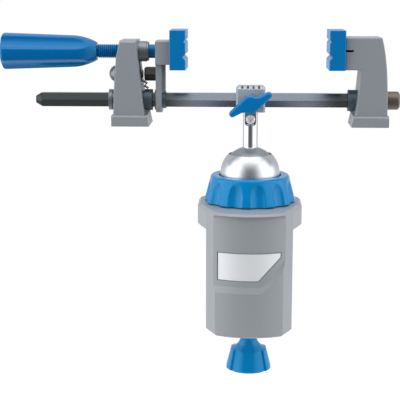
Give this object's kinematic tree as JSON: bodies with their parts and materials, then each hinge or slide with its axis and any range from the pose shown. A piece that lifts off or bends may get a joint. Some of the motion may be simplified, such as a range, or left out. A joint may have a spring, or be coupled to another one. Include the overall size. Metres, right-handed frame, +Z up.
{
  "type": "tilting bench vise",
  "caption": "Bench-edge vise whose hex-bar clamp slides, turns and tilts on a ball post held by a scalloped locking collar; screw jaw with grooved soft pads.",
  "frame": {"origin": "where the ball's axis meets the bench top, on the underside of the base's top plate", "axes": "+X along the bar towards the fixed jaw, +Y over the bench away from its edge, +Z up"},
  "size_m": [0.3488, 0.106, 0.3075],
  "materials": {
    "grey_casting": "satin grey powder coat on a casting",
    "blue_plastic": "semi-gloss moulded plastic",
    "blue_pad": "satin moulded plastic",
    "black_oxide": "black oxide on drawn steel",
    "satin_nickel": "satin nickel plate",
    "bright_zinc": "bright zinc plate",
    "zinc_casting": "tumbled die-cast zinc",
    "badge_metal": "satin aluminium, bare",
    "black_nylon": "moulded nylon",
    "rubber": "moulded rubber"
  },
  "bodies": {
    "base": {"base_body": "grey_casting", "badge_plate": "badge_metal", "ball_seat": "black_nylon", "clamp_nut": "bright_zinc"},
    "ring": {"friction_ring": "black_nylon"},
    "collar": {"locking_collar": "blue_plastic"},
    "cap": {"ball_cap": "satin_nickel"},
    "ball": {"ball_post": "satin_nickel", "post_screw": "bright_zinc"},
    "saddle": {"bar_saddle": "zinc_casting"},
    "presser": {"lever_pad": "bright_zinc"},
    "lever": {"thumb_lever": "blue_plastic", "lever_screw": "bright_zinc"},
    "bar": {"hex_bar": "black_oxide", "fixed_jaw": "grey_casting", "fixed_bush": "black_oxide", "bar_end_nut": "black_oxide", "fixed_jaw_pad": "blue_pad"},
    "carriage": {"carriage_body": "grey_casting", "screw_nut": "bright_zinc", "guide_bush": "zinc_casting", "grip_bush": "black_oxide", "slide_spring": "black_oxide", "spring_rivet": "bright_zinc"},
    "carrier": {"jaw_carrier": "grey_casting", "carrier_bush": "zinc_casting", "stop_stud": "black_oxide", "sliding_jaw_pad": "blue_pad", "retaining_pin": "bright_zinc"},
    "handle": {"jaw_handle": "blue_plastic"},
    "shoe": {"clamp_shoe": "bright_zinc", "shoe_pad": "rubber", "shoe_clip": "black_oxide"},
    "clamp": {"clamp_screw": "bright_zinc", "clamp_knob": "blue_plastic"}
  },
  "joints": [
    {"name": "collar_lift", "type": "slide", "parent": "base", "child": "ring", "axis": [0, 0, 1], "range_m": [0, 0.001]},
    {"name": "collar_turn", "type": "hinge", "parent": "ring", "child": "collar", "pos_m": [0, 0, 0.03], "axis": [0, 0, 1], "range_deg": [0, 120]},
    {"name": "shoe_lift", "type": "slide", "parent": "base", "child": "shoe", "axis": [0, 0, 1], "range_m": [-0.0445, 0.008]},
    {"name": "knob_turn", "type": "hinge", "parent": "shoe", "child": "clamp", "pos_m": [0, 0, -0.1], "axis": [0, 0, 1], "range_deg": [-8010, 1440]},
    {"name": "swivel", "type": "hinge", "parent": "base", "child": "cap", "pos_m": [0, 0, 0.0425], "axis": [0, 0, 1], "continuous": true},
    {"name": "tilt", "type": "hinge", "parent": "cap", "child": "ball", "pos_m": [0, 0, 0.0425], "axis": [0, 1, 0], "range_deg": [-25, 25]},
    {"name": "head_turn", "type": "hinge", "parent": "ball", "child": "saddle", "pos_m": [0, 0, 0.092], "axis": [0, 0, 1], "continuous": true},
    {"name": "pad_press", "type": "slide", "parent": "saddle", "child": "presser", "axis": [0, 1, 0], "range_m": [-0.000625, 0]},
    {"name": "lever_turn", "type": "hinge", "parent": "presser", "child": "lever", "pos_m": [0, -0.02, 0.1067], "axis": [0, 1, 0], "range_deg": [-180, 0]},
    {"name": "bar_slide", "type": "slide", "parent": "saddle", "child": "bar", "axis": [1, 0, 0], "range_m": [-0.062, 0.008]},
    {"name": "carriage_slide", "type": "slide", "parent": "saddle", "child": "carriage", "axis": [1, 0, 0], "range_m": [-0.048, 0.045]},
    {"name": "jaw_feed", "type": "slide", "parent": "carriage", "child": "carrier", "axis": [1, 0, 0], "range_m": [-0.001, 0.016]},
    {"name": "handle_turn", "type": "hinge", "parent": "carrier", "child": "handle", "pos_m": [-0.18, 0, 0.1511], "axis": [1, 0, 0], "range_deg": [-205.72, 3291.43]}
  ],
  "couplings": [
    {"joint": "collar_turn", "follows": "collar_lift", "rad_per_m": 2094.4},
    {"joint": "knob_turn", "follows": "shoe_lift", "rad_per_m": 3141.6},
    {"joint": "lever_turn", "follows": "pad_press", "rad_per_m": 5026.5},
    {"joint": "handle_turn", "follows": "jaw_feed", "rad_per_m": 3590.4}
  ]
}
